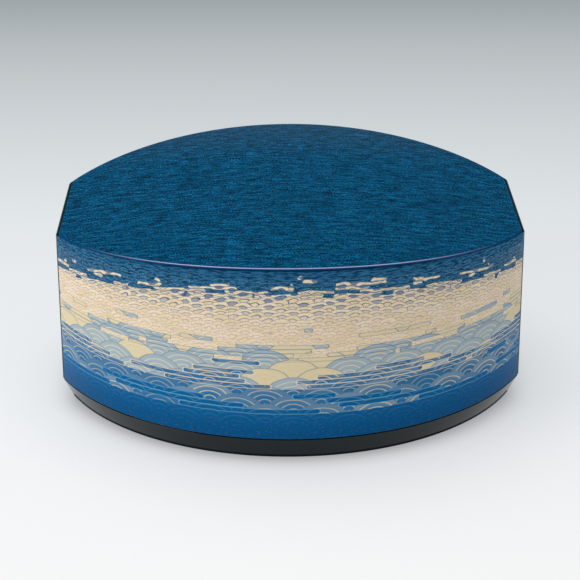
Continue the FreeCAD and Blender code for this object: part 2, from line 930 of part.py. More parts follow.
def make_blade(handle, place, ferrule_end):
    """The blade, and the slot for its tang in the handle."""
    half_tang, half_blade = dims.tang_width / 2, dims.blade_width / 2
    half_thick = dims.blade_thickness / 2
    tang_end = ferrule_end - dims.tang_length
    slot = new_sketch(handle, "tang_slot", "XY_Plane", -half_thick)
    draw_rectangle(slot, -half_tang, half_tang, -ferrule_end - CLEAR, -tang_end)
    cut(handle, slot, dims.blade_thickness, reversed_cut=True)
    blade = node("knife_blade", *place)
    outline = new_sketch(blade, "outline", "XY_Plane", -half_thick)
    tip = ferrule_end + dims.blade_length
    belly_at = tip - dims.blade_belly_length
    belly = (square(dims.blade_belly_length) + square(dims.blade_width)) / (dims.blade_width * 2)
    draw(
        outline,
        [
            (-half_tang, -tang_end),
            (-half_tang, -ferrule_end),
            (-half_blade, -ferrule_end),
            (-half_blade, -belly_at),
            (half_blade, -tip),
            (half_blade, -ferrule_end),
            (half_tang, -ferrule_end),
            (half_tang, -tang_end),
        ],
        {3: (belly, 1)},
    )
    pad(blade, outline, dims.blade_thickness)
    beside_tang, widest = -half_tang.value, dims.blade_width.value
    soften(
        blade,
        "Chamfer",
        dims.blade_bevel,
        lambda edge: edge.BoundBox.XMin < beside_tang and edge.BoundBox.YLength > widest,
    )


def make_ink_stick():
    outer = reach_x(dims.ink_length / 2, rim_inner) - dims.ink_margin
    stick = node("ink_stick", x=dims.ink_width / 2 - outer, z=contents_level)
    x, y = dims.ink_width / 2, dims.ink_length / 2
    plan = new_sketch(stick, "plan", "XY_Plane")
    draw_rectangle(plan, -x, x, -y, y)
    pad(stick, plan, dims.ink_height)
    soften(stick, "Chamfer", dims.ink_ease, lambda edge: True)
    panel = new_sketch(stick, "panel", "XY_Plane", dims.ink_height)
    x, y = x - dims.ink_border, y - dims.ink_border
    draw_rectangle(panel, -x, x, -y, y)
    cut(stick, panel, dims.ink_panel_depth)


def make_brushes():
    large, small = brush_sizes("large"), brush_sizes("small")
    large_x = bay_inner + dims.tool_margin + large.cap_outer
    small_x = large_x + large.cap_outer + dims.tool_space + small.cap_outer
    make_brush("large", large, large_x)
    make_brush("small", small, small_x)
    rear = tool_place(large_x, large.cap_outer, 1)[1]
    far = small_x + small.cap_outer + dims.tool_margin
    under_handles = (large.handle_length / 2, large.handle_radius, small.handle_radius)
    under_caps = ((large.handle_length + large.front) / 2, large.cap_outer, small.cap_outer)
    for end, (distance, *radii) in (("rear", under_handles), ("front", under_caps)):
        rest, notches = tool_rest(f"brush_rest_{end}", bay_inner, far, rear - distance)
        for x, radius in zip((large_x, small_x), radii):
            draw_circle(notches, x, dims.rest_height, radius + dims.rest_gap)
        cut(rest, notches)


def make_knife_and_rests():
    half_width = dims.knife_handle_width / 2
    x = bay_inner + dims.tool_margin + half_width
    make_knife(x)
    rear = tool_place(x, half_width, -1)[1]
    far = x + half_width + dims.rest_overhang
    reach = half_width + dims.rest_gap
    sunk = dims.knife_handle_thickness / 2 + dims.rest_gap
    for end, distance in (("rear", dims.knife_rest_rear), ("front", dims.knife_rest_front)):
        rest, notch = tool_rest(f"knife_rest_{end}", -bay_inner, -far, rear - distance)
        height = dims.rest_height
        draw_rectangle(notch, -x - reach, -x + reach, height - sunk, height + CLEAR)
        cut(rest, notch)


# ---------------------------------------------------------------------------------------------


def check_and_write():
    """Stop on any failed object; otherwise write each node to its own file."""
    doc.recompute()
    for item in doc.Objects:
        if "Invalid" in item.State or "Error" in item.State:
            raise RuntimeError(f"{item.Name} failed: {item.State}")
    for body in nodes:
        if body.Shape.isNull() or not body.Shape.isValid():
            raise RuntimeError(f"{body.Label} has no valid shape")
        if len(body.Shape.Solids) != 1:
            raise RuntimeError(f"{body.Label} has {len(body.Shape.Solids)} solids")
    os.makedirs("parts", exist_ok=True)
    for body in nodes:
        body.Shape.exportStep(f"parts/{body.Label}.step")
    print(f"{len(nodes)} nodes written")


make_plinth()
make_body()
make_tray_strips()
make_lid_walls()
make_lid_board()
make_tray_rim()
plan_board("tray_floor", tray_level, rim_inner, dims.tray_floor)
make_dividers()
make_stone_bed()
make_inkstone()
make_dropper()
make_brushes()
make_knife_and_rests()
make_ink_stick()
check_and_write()
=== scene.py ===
import math

import bpy
from mathutils import Matrix, Vector


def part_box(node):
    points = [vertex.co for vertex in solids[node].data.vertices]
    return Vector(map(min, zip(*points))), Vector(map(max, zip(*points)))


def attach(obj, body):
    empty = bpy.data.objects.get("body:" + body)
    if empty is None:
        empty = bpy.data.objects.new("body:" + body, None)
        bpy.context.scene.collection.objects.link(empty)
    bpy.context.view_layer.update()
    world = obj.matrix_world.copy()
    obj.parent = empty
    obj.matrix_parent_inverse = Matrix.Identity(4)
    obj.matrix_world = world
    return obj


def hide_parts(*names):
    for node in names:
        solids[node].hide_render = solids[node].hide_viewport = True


# Japanese writing box: a material for every solid, hair for the brush tufts, a finer moulding for
# the plinth, and the floor, the light and the camera. Lengths are metres, in the solids' frame.

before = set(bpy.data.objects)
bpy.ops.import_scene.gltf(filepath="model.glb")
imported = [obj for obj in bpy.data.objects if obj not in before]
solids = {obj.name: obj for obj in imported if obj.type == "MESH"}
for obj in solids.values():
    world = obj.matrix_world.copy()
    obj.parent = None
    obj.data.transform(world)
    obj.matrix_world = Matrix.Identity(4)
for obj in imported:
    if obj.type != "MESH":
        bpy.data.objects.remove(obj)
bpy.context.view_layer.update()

MM = 0.001
LID_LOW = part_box("lid_wall_front")[0].z
HALF_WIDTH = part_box("lid_wall_front")[1].x
HALF_DEPTH = -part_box("lid_wall_front")[0].y
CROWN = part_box("lid_top_board")[1].z
# The curved walls' radius in plan, how far beyond the middle its centre lies, and the top's radius.
ARC_RADIUS = 0.145625
ARC_CENTRE = ARC_RADIUS - HALF_DEPTH
ARCH_RADIUS = 0.85


# ------------------------------------------------------------------------------------------------
# Materials as formulas: a Signal is a number that varies over the surface.


class Signal:
    """A number in a material's node tree, with arithmetic."""

    def __init__(self, tree, socket):
        self.tree = tree
        self.socket = socket

    def apply(self, operation, *others):
        node = self.tree.nodes.new("ShaderNodeMath")
        node.operation = operation
        for slot, value in zip(node.inputs, (self, *others)):
            feed(self.tree, slot, value)
        return Signal(self.tree, node.outputs[0])

    def __add__(self, other):
        return self.apply("ADD", other)

    def __sub__(self, other):
        return self.apply("SUBTRACT", other)

    def __mul__(self, other):
        return self.apply("MULTIPLY", other)

    def __truediv__(self, other):
        return self.apply("DIVIDE", other)

    def __abs__(self):
        return self.apply("ABSOLUTE")

    def floor(self):
        return self.apply("FLOOR")

    def fract(self):
        return self.apply("FRACT")

    def root(self):
        return self.apply("SQRT")

    def least(self, other):
        return self.apply("MINIMUM", other)

    def most(self, other):
        return self.apply("MAXIMUM", other)

    def inverse(self):
        """One minus the signal."""
        return self * -1.0 + 1.0

    def rise(self, start, end):
        """0 at start and 1 at end, smoothly; it falls where start is the larger."""
        node = self.tree.nodes.new("ShaderNodeMapRange")
        node.interpolation_type = "SMOOTHSTEP"
        low, high = min(start, end), max(start, end)
        self.tree.links.new(self.socket, node.inputs["Value"])
        node.inputs["From Min"].default_value = low
        node.inputs["From Max"].default_value = high
        node.inputs["To Min"].default_value = 0.0 if start < end else 1.0
        node.inputs["To Max"].default_value = 1.0 if start < end else 0.0
        return Signal(self.tree, node.outputs["Result"])

    def share(self, start, end):
        """0 at start and 1 at end, in proportion, and clamped."""
        node = self.tree.nodes.new("ShaderNodeMapRange")
        self.tree.links.new(self.socket, node.inputs["Value"])
        node.inputs["From Min"].default_value = start
        node.inputs["From Max"].default_value = end
        return Signal(self.tree, node.outputs["Result"])


def feed(tree, slot, value):
    """Link a Signal or a socket to a slot, or set a plain value."""
    if isinstance(value, Signal):
        tree.links.new(value.socket, slot)
    elif isinstance(value, bpy.types.NodeSocket):
        tree.links.new(value, slot)
    else:
        slot.default_value = value


def distance(x, y):
    """How far the place (x, y) is from the origin."""
    return (x * x + y * y).root()


def rgb(red, green, blue):
    """A colour written as it shows on a screen, 0 to 255."""
    shares = [value / 255 for value in (red, green, blue)]
    linear = [s / 12.92 if s <= 0.04045 else ((s + 0.055) / 1.055) ** 2.4 for s in shares]
    return (*linear, 1.0)


class Paint:
    """A material: one Principled shader and the formulas that drive it."""

    def __init__(self, name, **settings):
        self.material = bpy.data.materials.new(name)
        self.material.use_nodes = True
        self.tree = self.material.node_tree
        self.shader = self.tree.nodes["Principled BSDF"]
        for socket, value in settings.items():
            self.shader.inputs[socket.replace("_", " ")].default_value = value
        place = self.tree.nodes.new("ShaderNodeTexCoord").outputs["Object"]
        self.x, self.y, self.z = self.split(place)

    def split(self, vector):
        node = self.tree.nodes.new("ShaderNodeSeparateXYZ")
        self.tree.links.new(vector, node.inputs[0])
        return [Signal(self.tree, output) for output in node.outputs]

    def vector(self, x, y, z=0.0):
        node = self.tree.nodes.new("ShaderNodeCombineXYZ")
        for slot, value in zip(node.inputs, (x, y, z)):
            feed(self.tree, slot, value)
        return node.outputs[0]

    def normal(self):
        """The flat normal of the face, as three signals."""
        return self.split(self.tree.nodes.new("ShaderNodeNewGeometry").outputs["True Normal"])

    def noise(self, x, y, z=0.0, detail=2.0, roughness=0.5):
        """Cloudy noise from 0 to 1, about one feature per unit."""
        node = self.tree.nodes.new("ShaderNodeTexNoise")
        self.tree.links.new(self.vector(x, y, z), node.inputs["Vector"])
        node.inputs["Scale"].default_value = 1.0
        node.inputs["Detail"].default_value = detail
        node.inputs["Roughness"].default_value = roughness
        return Signal(self.tree, node.outputs["Fac"])

    def grain(self, size, detail=2.0, roughness=0.5):
        """Noise with the same size in all directions."""
        return self.noise(self.x / size, self.y / size, self.z / size, detail, roughness)

    def stretched(self, x, y, z, detail=2.0, roughness=0.5):
        """Noise with its own size along each axis, in millimetres."""
        return self.noise(
            self.x / (x * MM), self.y / (y * MM), self.z / (z * MM), detail, roughness
        )

    def dice(self, x, y):
        """One random number for each whole x and y."""
        node = self.tree.nodes.new("ShaderNodeTexWhiteNoise")
        node.noise_dimensions = "2D"
        self.tree.links.new(self.vector(x, y), node.inputs["Vector"])
        return Signal(self.tree, node.outputs["Value"])

    def blend(self, under, over, mask):
        """The colour under, covered by the colour over where mask is 1."""
        node = self.tree.nodes.new("ShaderNodeMix")
        node.data_type = "RGBA"
        node.clamp_factor = True
        feed(self.tree, node.inputs[0], mask)
        feed(self.tree, node.inputs[6], under)
        feed(self.tree, node.inputs[7], over)
        return node.outputs[2]

    def bands(self, signal, stops):
        """A colour ramp; stops is a list of (place, colour)."""
        node = self.tree.nodes.new("ShaderNodeValToRGB")
        self.tree.links.new(signal.socket, node.inputs[0])
        ramp = node.color_ramp
        while len(ramp.elements) < len(stops):
            ramp.elements.new(0.5)
        for element, (place, colour) in zip(ramp.elements, stops):
            element.position = place
            element.color = colour
        return node.outputs[0]

    def finish(
        self, colour=None, roughness=None, height=None, depth=0.0001, metallic=None, coat=None
    ):
        """Connect what varies; height is 0 to 1 for a relief of the given depth."""
        if colour is not None:
            feed(self.tree, self.shader.inputs["Base Color"], colour)
        if roughness is not None:
            feed(self.tree, self.shader.inputs["Roughness"], roughness)
        if metallic is not None:
            feed(self.tree, self.shader.inputs["Metallic"], metallic)
        if coat is not None:
            feed(self.tree, self.shader.inputs["Coat Weight"], coat)
        if height is not None:
            node = self.tree.nodes.new("ShaderNodeBump")
            node.inputs["Strength"].default_value = 1.0
            node.inputs["Distance"].default_value = depth
            self.tree.links.new(height.socket, node.inputs["Height"])
            self.tree.links.new(node.outputs[0], self.shader.inputs["Normal"])
        return self.material


# ------------------------------------------------------------------------------------------------
# Pattern of the decorated walls: level tiers of sea waves (seigaiha) between bars of mist.


def waves(paint, u, v, reach, rise):
    """Overlapping wave scales: distance from the scale's own centre, 0 to 1, and its dice."""
    across = u / reach
    up = v / rise * 2.0
    row = up.floor()

    def scale(own_row):
        shifted = across + own_row
        column = (shifted / 2.0).floor()
        side = shifted - column * 2.0 - 1.0
        return distance(side, (up - own_row) / 2.0), paint.dice(column, own_row)

    front, front_dice = scale(row - 1.0)
    middle, middle_dice = scale(row)
    back, back_dice = scale(row + 1.0)
    in_front = front.rise(1.0, 0.9999)
    in_middle = middle.rise(1.0, 0.9999)

    def pick(first, second, third):
        behind = second * in_middle + third * in_middle.inverse()
        return first * in_front + behind * in_front.inverse()

    return pick(front, middle, back), pick(front_dice, middle_dice, back_dice)


def rings(span, count, width):
    """Fine lines at equal steps from a scale's rim inwards; 1 on a line."""
    step = (span * count).fract()
    return abs(step - 0.5).rise(0.5 - width, 0.5 - width * 0.4)


def mist(paint, u, v, middle, spread, bar, period, seed):
    """Long rounded bars: solid below the border, thinning out upwards across it.

    middle is the border's height, spread is how far it reaches up and down, bar is the height of
    a bar and period its greatest length. Returns the mask of the bars and of a fine line round
    them.
    """
    row = (v / bar).floor()
    throw = paint.dice(row, seed)
    place = u / period + throw * 7.0
    cell = place.floor()
    luck = paint.dice(cell, row + seed)
    along = (place - cell - 0.5) * period
    level = (row + 0.5) * bar
    row_share = (level - (middle + spread)) / (-2.0 * spread) + (throw - 0.5) * 0.35
    full = row_share.rise(0.97, 1.0)
    share = (row_share + (luck - 0.5) * 0.7).most(full).least(1.0)
    past = (abs(along) - share * (period * 0.5) + bar * 0.5).most(0.0)
    edge = distance(past, v - level) - bar * 0.5 + share.rise(0.05, 0.0) * bar - full * bar
    return edge.rise(0.14, -0.14), abs(edge).rise(0.42, 0.14)


# The tiers of the walls from top to bottom, and the lines and flecks on them.
SKY, NIGHT = rgb(46, 104, 144), rgb(14, 62, 96)
CREAM, PALE = rgb(240, 218, 170), rgb(250, 230, 194)
HAZE = rgb(168, 186, 196)
MIDDLE = rgb(48, 116, 164)
DEEP, ABYSS = rgb(4, 100, 156), rgb(0, 72, 120)
LILAC = rgb(182, 160, 190)
SLATE_LINE = rgb(52, 104, 142)
FOAM = rgb(112, 172, 200)
ROSE = rgb(84, 84, 150)
# Bare lacquer, and the backdrop behind the table.
BLACK = rgb(6, 24, 26)
BACKDROP = rgb(222, 226, 229)


def arch_depth(paint):
    """Depth below the lid's arched top, in millimetres."""
    arch = (paint.x * paint.x * -1.0 + ARCH_RADIUS**2).root()
    return (arch + (CROWN - ARCH_RADIUS) - paint.z) / MM


def wall_place(paint):
    """Place on a curved wall: u along it and v above the lid's lower edge, in millimetres."""
    angle = paint.x.apply("ARCTAN2", abs(paint.y) + ARC_CENTRE)
    return angle * (ARC_RADIUS / MM), (paint.z - LID_LOW) / MM


def wall_pattern(paint):
    """Colour and relief of the decorated front and rear."""
    u, v = wall_place(paint)
    # sag is how far the arch of the top has dropped here; the upper waves follow it.
    sag = (arch_depth(paint) + v) * -1.0 + (CROWN - LID_LOW) / MM
    drift = paint.noise(u / 10.0, v / 5.0, detail=1.5) - 0.5
    u_small = u + drift * 6.0
    v_small = v + sag * 1.4 + drift * 3.2
    small, small_dice = waves(paint, u_small, v_small, reach=6.4, rise=3.7)
    large, large_dice = waves(paint, u, v + drift * 1.2, reach=15.0, rise=10.5)
    small_lines = rings(small, count=2.0, width=0.17)
    large_lines = rings(large, count=4.0, width=0.14)
    large_rim = large.rise(0.955, 0.985)
    fleck = paint.noise(u / 0.9, v / 0.6, detail=1.0)

    # Four borders divide the wall into five tiers.
    below_sky, sky_line = mist(
        paint, u_small, v_small, middle=87.0, spread=5.5, bar=2.1, period=37.0, seed=3.0
    )
    below_cream, cream_line = mist(
        paint, u, v, middle=54.0, spread=8.0, bar=2.4, period=83.0, seed=11.0
    )
    below_haze, haze_line = mist(
        paint, u, v, middle=37.0, spread=6.5, bar=2.7, period=97.0, seed=19.0
    )
    below_middle, middle_line = mist(
        paint, u, v, middle=20.0, spread=6.0, bar=3.0, period=121.0, seed=29.0
    )

    # Streaked sky with foam, then cream with pools of blue.
    sky = paint.blend(SKY, NIGHT, paint.noise(u / 5.0, v / 0.9, detail=3.0).rise(0.42, 0.6))
    sky = paint.blend(sky, FOAM, small_lines * fleck.rise(0.42, 0.6) * v.rise(97.0, 86.0) * 0.7)
    cream = paint.blend(CREAM, PALE, small_dice)
    pool = small.rise(0.56, 0.5) * small_dice.rise(0.3, 0.36) * v.rise(66.0, 84.0)
    cream = paint.blend(cream, SKY, pool * 0.85)
    line_colour = paint.blend(LILAC, SLATE_LINE, v.rise(62.0, 76.0))
    cream = paint.blend(cream, line_colour, small_lines * (v.rise(50.0, 82.0) * 0.5 + 0.45))
    cream = paint.blend(cream, LILAC, fleck.rise(0.54, 0.62) * 0.5)
    # Haze, middle and deep water, all three in large waves.
    haze = paint.blend(HAZE, CREAM, large_dice.rise(0.55, 0.6) * 0.8)
    haze = paint.blend(haze, CREAM, large_lines * 0.8)
    haze = paint.blend(haze, SLATE_LINE, large_rim * 0.75)
    middle = paint.blend(MIDDLE, HAZE, large.rise(0.3, 0.95) * large_dice * 0.55)
    middle = paint.blend(middle, CREAM, large_lines * (large_dice * 0.5 + 0.3))
    middle = paint.blend(middle, SLATE_LINE, large_rim * 0.8)
    deep = paint.blend(DEEP, ABYSS, v.rise(20.0, 2.0) * 0.6)
    deep = paint.blend(deep, FOAM, large_lines * v.rise(6.0, 26.0) * 0.45)
    speckle = paint.noise(u / 2.2, v / 0.7, detail=2.0)
    deep = paint.blend(deep, ROSE, speckle.rise(0.6, 0.68) * 0.6)

    colour = paint.blend(sky, cream, below_sky)
    colour = paint.blend(colour, SLATE_LINE, sky_line * 0.8)
    colour = paint.blend(colour, haze, below_cream)
    colour = paint.blend(colour, SLATE_LINE, cream_line * 0.55)
    colour = paint.blend(colour, middle, below_haze)
    colour = paint.blend(colour, PALE, haze_line * 0.8)
    colour = paint.blend(colour, deep, below_middle)
    colour = paint.blend(colour, FOAM, middle_line * 0.8)
    relief = small_lines * below_cream.inverse() + large_lines * below_cream
    return colour, relief.inverse() * 0.6 + fleck * 0.4


def outward_mask(paint):
    """1 on the outer faces of the two curved sides."""
    out_x, out_y, _ = paint.normal()
    deep_y = abs(paint.y) + ARC_CENTRE
    radius = distance(paint.x, deep_y)
    facing = (out_x * paint.x + abs(out_y) * deep_y) / radius
    on_skin = radius.rise(ARC_RADIUS - 0.9 * MM, ARC_RADIUS - 0.3 * MM)
    # A margin of bare lacquer is left beside each upright corner.
    inside = abs(paint.x).rise(HALF_WIDTH - 0.5 * MM, HALF_WIDTH - 0.9 * MM)
    above = (paint.z - LID_LOW).rise(0.1 * MM, 0.25 * MM)
    return facing.rise(0.55, 0.65) * on_skin * inside * above


def lacquer(name, tint=BLACK, gold=0.0, roughness=0.1, gloss=0.15):
    """Polished lacquer with a faint orange peel; gold is how much dust is sprinkled in it."""
    paint = Paint(name, Specular_IOR_Level=gloss)
    peel = paint.grain(9 * MM, 2.0)
    dust = paint.grain(1.1 * MM, 3.0, 0.6)
    colour = paint.blend(tint, rgb(20, 32, 33), dust.rise(0.5, 0.8) * 0.6)
    shine = dust * 0.08 + peel * 0.05 + roughness - 0.05
    metallic = None
    if gold:
        drift = paint.grain(16 * MM, 2.0) - 0.5
        specks = (paint.grain(0.5 * MM, 0.0) + drift * 0.12).rise(0.74 - gold, 0.78 - gold)
        colour = paint.blend(colour, rgb(204, 158, 76), specks * 0.85)
        metallic = specks * 0.8
    return paint.finish(colour, shine, peel * 0.7 + dust * 0.3, 0.04 * MM, metallic)


def decorated_wall():
    """The lid's front and rear: the pattern outside, bare lacquer on every other face."""
    paint = Paint("decorated_wall", Specular_IOR_Level=0.04, Sheen_Weight=0.16, Sheen_Roughness=0.3)
    colour, relief = wall_pattern(paint)
    mask = outward_mask(paint)
    dust = paint.grain(1.2 * MM, 3.0)
    colour = paint.blend(BLACK, colour, mask)
    shine = dust * 0.1 + mask * 0.16 + 0.1
    return paint.finish(colour, shine, relief * mask, 0.03 * MM)


def ripples(paint):
    """Colour and relief of the top: short strokes, left to right, cut in many blue layers, with
    painted glints on their crests and a painted sheen that greys the back.
    """
    sway = paint.noise(paint.x / (34 * MM), paint.y / (16 * MM), detail=1.0) - 0.5
    y = paint.y + sway * (5 * MM)
    swell = paint.noise(paint.x / (13 * MM) + 17.0, y / (2.6 * MM), detail=3.0, roughness=0.6)
    broad = paint.noise(paint.x / (5 * MM), y / (1.2 * MM), detail=3.0, roughness=0.6)
    fine = paint.noise(paint.x / (0.9 * MM) + 31.0, y / (1.0 * MM), detail=1.0)
    # The mix of noises keeps near 0.5, so the four blues lie close together on the ramp.
    stroke = swell * 0.28 + broad * 0.34 + fine * 0.38
    colour = paint.bands(
        stroke,
        [
            (0.43, rgb(0, 34, 56)),
            (0.48, rgb(0, 54, 82)),
            (0.525, rgb(0, 78, 116)),
            (0.59, rgb(0, 108, 160)),
        ],
    )
    # Painted glints: a grey-blue light painted on the crests of the strokes.
    painted_glint = fine.rise(0.56, 0.72) * swell.rise(0.46, 0.58)
    colour = paint.blend(colour, rgb(84, 110, 126), painted_glint * 0.4)
    cloud = paint.noise(paint.x / (60 * MM), paint.y / (38 * MM), detail=2.0)
    colour = paint.blend(colour, rgb(0, 48, 80), cloud.rise(0.5, 0.75) * 0.35)
    hue = paint.noise(paint.x / (12 * MM) + 9.0, y / (5 * MM) + 5.0, detail=6.0, roughness=0.7)
    colour = paint.blend(colour, rgb(0, 88, 104), hue.rise(0.52, 0.66) * 0.4)
    colour = paint.blend(colour, rgb(6, 56, 114), hue.rise(0.42, 0.3) * 0.4)
    # Painted sheen: the top turns greyer towards the back, as a reflection at a flat angle would.
    colour = paint.blend(colour, rgb(70, 82, 92), paint.y.rise(40 * MM, 150 * MM) * 0.3)
    return colour, stroke


def engraved_top():
    """The lid's top board: ripples above, the wall's pattern on its edge, polished black ends, a
    painted highlight along the curved top edges and painted shade as a dark line under it.
    """
    paint = Paint("engraved_top", Specular_IOR_Level=0.003, Coat_Roughness=0.08)
    _, _, up = paint.normal()
    colour, stroke = ripples(paint)
    side_colour, side_relief = wall_pattern(paint)
    below = arch_depth(paint)
    upright = abs(up).rise(0.4, 0.3)
    on_side = outward_mask(paint) * upright
    on_top = up.rise(0.93, 0.97)
    on_bevel = up.rise(0.3, 0.4) * on_top.inverse()
    curved = abs(paint.x).rise(HALF_WIDTH - 1.6 * MM, HALF_WIDTH - 1.9 * MM)
    # centre fades the painted light: a lavender highlight painted on the bevel of the curved top
    # edges, brightest in the middle and gone near the ends.
    centre = abs(paint.x).rise(118 * MM, 50 * MM)
    painted_highlight_rim = paint.blend(rgb(12, 62, 104), rgb(180, 180, 224), centre * below.rise(0.4, 0.26))
    # Painted shade: a dark line on the edge just under the painted highlight, fading towards the
    # ends with it.
    side_colour = paint.blend(side_colour, rgb(2, 30, 62), below.rise(2.2, 1.2) * centre * 0.85)
    result = paint.blend(BLACK, side_colour, on_side)
    result = paint.blend(result, painted_highlight_rim, on_bevel * curved)
    result = paint.blend(result, colour, on_top * curved)
    shine = on_top * 0.34 + on_side * 0.16 + 0.12
    relief = stroke * on_top + side_relief * on_side * 0.2
    polish = upright * on_side.inverse() * 0.85
    return paint.finish(result, shine, relief, 0.12 * MM, coat=polish)


def slate():
    """Dark inkstone: fine layers, a dull ground surface, and dried ink low in the well."""
    well_shore, well_floor = 75.5 * MM, 70 * MM
    paint = Paint("inkstone_slate", Specular_IOR_Level=0.4)
    layers = paint.stretched(22, 30, 2.5, detail=4.0, roughness=0.6)
    grit = paint.grain(0.9 * MM, 3.0, 0.65)
    colour = paint.bands(
        layers * 0.7 + grit * 0.3,
        [(0.3, rgb(38, 41, 46)), (0.5, rgb(52, 57, 61)), (0.7, rgb(66, 69, 74))],
    )
    low = paint.z.rise(well_shore, well_floor)
    colour = paint.blend(colour, rgb(18, 18, 21), low * (layers.rise(0.3, 0.6) * 0.4 + 0.5))
    return paint.finish(colour, grit * 0.2 + 0.42, grit * 0.8 + layers * 0.2, 0.12 * MM)


def silver():
    """Satin silver with waves chased into its top and darker metal left in the hollows."""
    paint = Paint("oxidised_silver", Metallic=1.0)
    _, _, up = paint.normal()
    span, _ = waves(paint, paint.x / MM, paint.y / MM, reach=4.6, rise=4.6)
    chased = rings(span, count=2.0, width=0.3) * up.rise(0.75, 0.9)
    tone = paint.grain(5 * MM, 3.0, 0.6)
    brush = paint.stretched(0.25, 3, 0.25)
    colour = paint.blend(rgb(196, 192, 184), rgb(150, 146, 138), tone.rise(0.35, 0.7))
    colour = paint.blend(colour, rgb(70, 66, 62), chased * 0.8)
    return paint.finish(colour, tone * 0.2 + brush * 0.1 + 0.2, chased.inverse(), 0.1 * MM)


def bamboo(name, light, dark):
    """Polished bamboo along Y, with fine fibres and a darker ring at each joint."""
    paint = Paint(name, Specular_IOR_Level=0.45)
    fibre = paint.stretched(0.35, 16, 0.35, detail=3.0, roughness=0.6)
    mottle = paint.grain(7 * MM, 2.0)
    colour = paint.blend(light, dark, fibre.rise(0.35, 0.7))
    colour = paint.blend(colour, dark, mottle.rise(0.5, 0.75) * 0.5)
    joint = abs((paint.y / (31 * MM) + 0.2).fract() - 0.5)
    ring = joint.rise(0.022, 0.008)
    colour = paint.blend(colour, rgb(92, 62, 32), ring * 0.85)
    return paint.finish(colour, mottle * 0.15 + 0.26, fibre * 0.3 + ring * 0.7, 0.18 * MM)


def hair():
    """Animal hair that runs along Y, in mixed browns by strand and lock."""
    paint = Paint("brush_hair", Specular_IOR_Level=0.3, Sheen_Weight=0.3)
    strand = paint.stretched(0.16, 9, 0.16, detail=3.0, roughness=0.7)
    lock = paint.stretched(0.8, 14, 0.8)
    colour = paint.bands(
        strand * 0.6 + lock * 0.4,
        [(0.3, rgb(96, 66, 40)), (0.5, rgb(158, 118, 76)), (0.72, rgb(206, 170, 122))],
    )
    return paint.finish(colour, strand * 0.3 + 0.45, strand * 0.6 + lock * 0.4, 0.14 * MM)


def horn():
    """Dark polished horn with paler streaks along Y."""
    paint = Paint("buffalo_horn", Specular_IOR_Level=0.5)
    streak = paint.stretched(1.6, 7, 1.6, detail=4.0, roughness=0.6)
    colour = paint.bands(
        streak, [(0.35, rgb(20, 16, 14)), (0.55, rgb(48, 36, 28)), (0.75, rgb(104, 80, 56))]
    )
    return paint.finish(colour, streak * 0.12 + 0.12, streak, 0.02 * MM)


def ink_cake():
    """Pressed soot with a gilt line round its panel and gilt waves in the middle."""
    paint = Paint("pressed_ink", Specular_IOR_Level=0.35)
    low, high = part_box("ink_stick")
    middle = (low + high) / 2
    inset_x = (abs(paint.x - middle.x) - (high.x - low.x) / 2) * -1.0 / MM
    inset_y = (abs(paint.y - middle.y) - (high.y - low.y) / 2) * -1.0 / MM
    inset = inset_x.least(inset_y)
    frame_line = abs(inset - 3.7).rise(0.4, 0.2)
    across, along = (paint.x - middle.x) / MM, (paint.y - middle.y) / MM
    span, _ = waves(paint, across, along, reach=2.5, rise=3.0)
    panel = inset.rise(4.6, 4.8) * abs(paint.y - middle.y).rise(21 * MM, 20.6 * MM)
    crest = rings(span, count=2.0, width=0.24) * panel
    soot = paint.grain(1.4 * MM, 3.0, 0.6)
    worn = soot.rise(0.62, 0.5)
    _, _, up = paint.normal()
    gilt = frame_line.most(crest) * worn * up.rise(0.9, 0.95)
    colour = paint.blend(rgb(24, 23, 26), rgb(44, 42, 46), soot.rise(0.4, 0.7))
    colour = paint.blend(colour, rgb(206, 160, 78), gilt)
    return paint.finish(colour, soot * 0.25 + 0.35, soot, 0.08 * MM, gilt * 0.9)


def metal(name, light, dark, scratches, roughness):
    """Ground metal; scratches is their size along x, y and z, in millimetres."""
    paint = Paint(name, Metallic=1.0)
    scratch = paint.stretched(*scratches, detail=3.0, roughness=0.6)
    stain = paint.grain(6 * MM, 3.0)
    colour = paint.blend(light, dark, stain.rise(0.4, 0.75) * 0.8 + scratch * 0.2)
    return paint.finish(colour, scratch * 0.2 + roughness, scratch, 0.015 * MM)


def blade_steel():
    """Bright steel with a pale, wavy hardened band along the cutting edge, its -x side."""
    paint = Paint("blade_steel", Metallic=1.0)
    low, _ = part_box("knife_blade")
    scratch = paint.stretched(3, 0.3, 1, detail=3.0, roughness=0.6)
    wave = (paint.y / (2.2 * MM)).apply("SINE") * (0.35 * MM) + paint.x
    hard = wave.rise(low.x + 3.0 * MM, low.x + 2.4 * MM)
    colour = paint.blend(rgb(150, 152, 156), rgb(206, 208, 212), hard)
    colour = paint.blend(colour, rgb(110, 108, 108), scratch.rise(0.55, 0.8) * 0.4)
    return paint.finish(colour, hard * 0.2 + scratch * 0.12 + 0.14, scratch, 0.01 * MM)


# ------------------------------------------------------------------------------------------------
# Pieces that take the place of plain solids.


def add_mesh(name, points, faces):
    """A new object in the scene, with the mesh of these points and faces."""
    mesh = bpy.data.meshes.new(name)
    mesh.from_pydata(points, [], faces)
    piece = bpy.data.objects.new(name, mesh)
    bpy.context.scene.collection.objects.link(piece)
    return piece


def profile_radius(share, belly, tip):
    """Radius of a brush tuft at a share of its free length: a swell, then a long taper."""
    swell = 1.0 + 0.1 * math.sin(math.pi * min(share / 0.55, 1.0))
    taper = 1.0 - max(share - 0.38, 0.0) ** 1.7 * 2.2
    return max(belly * swell * taper, tip)


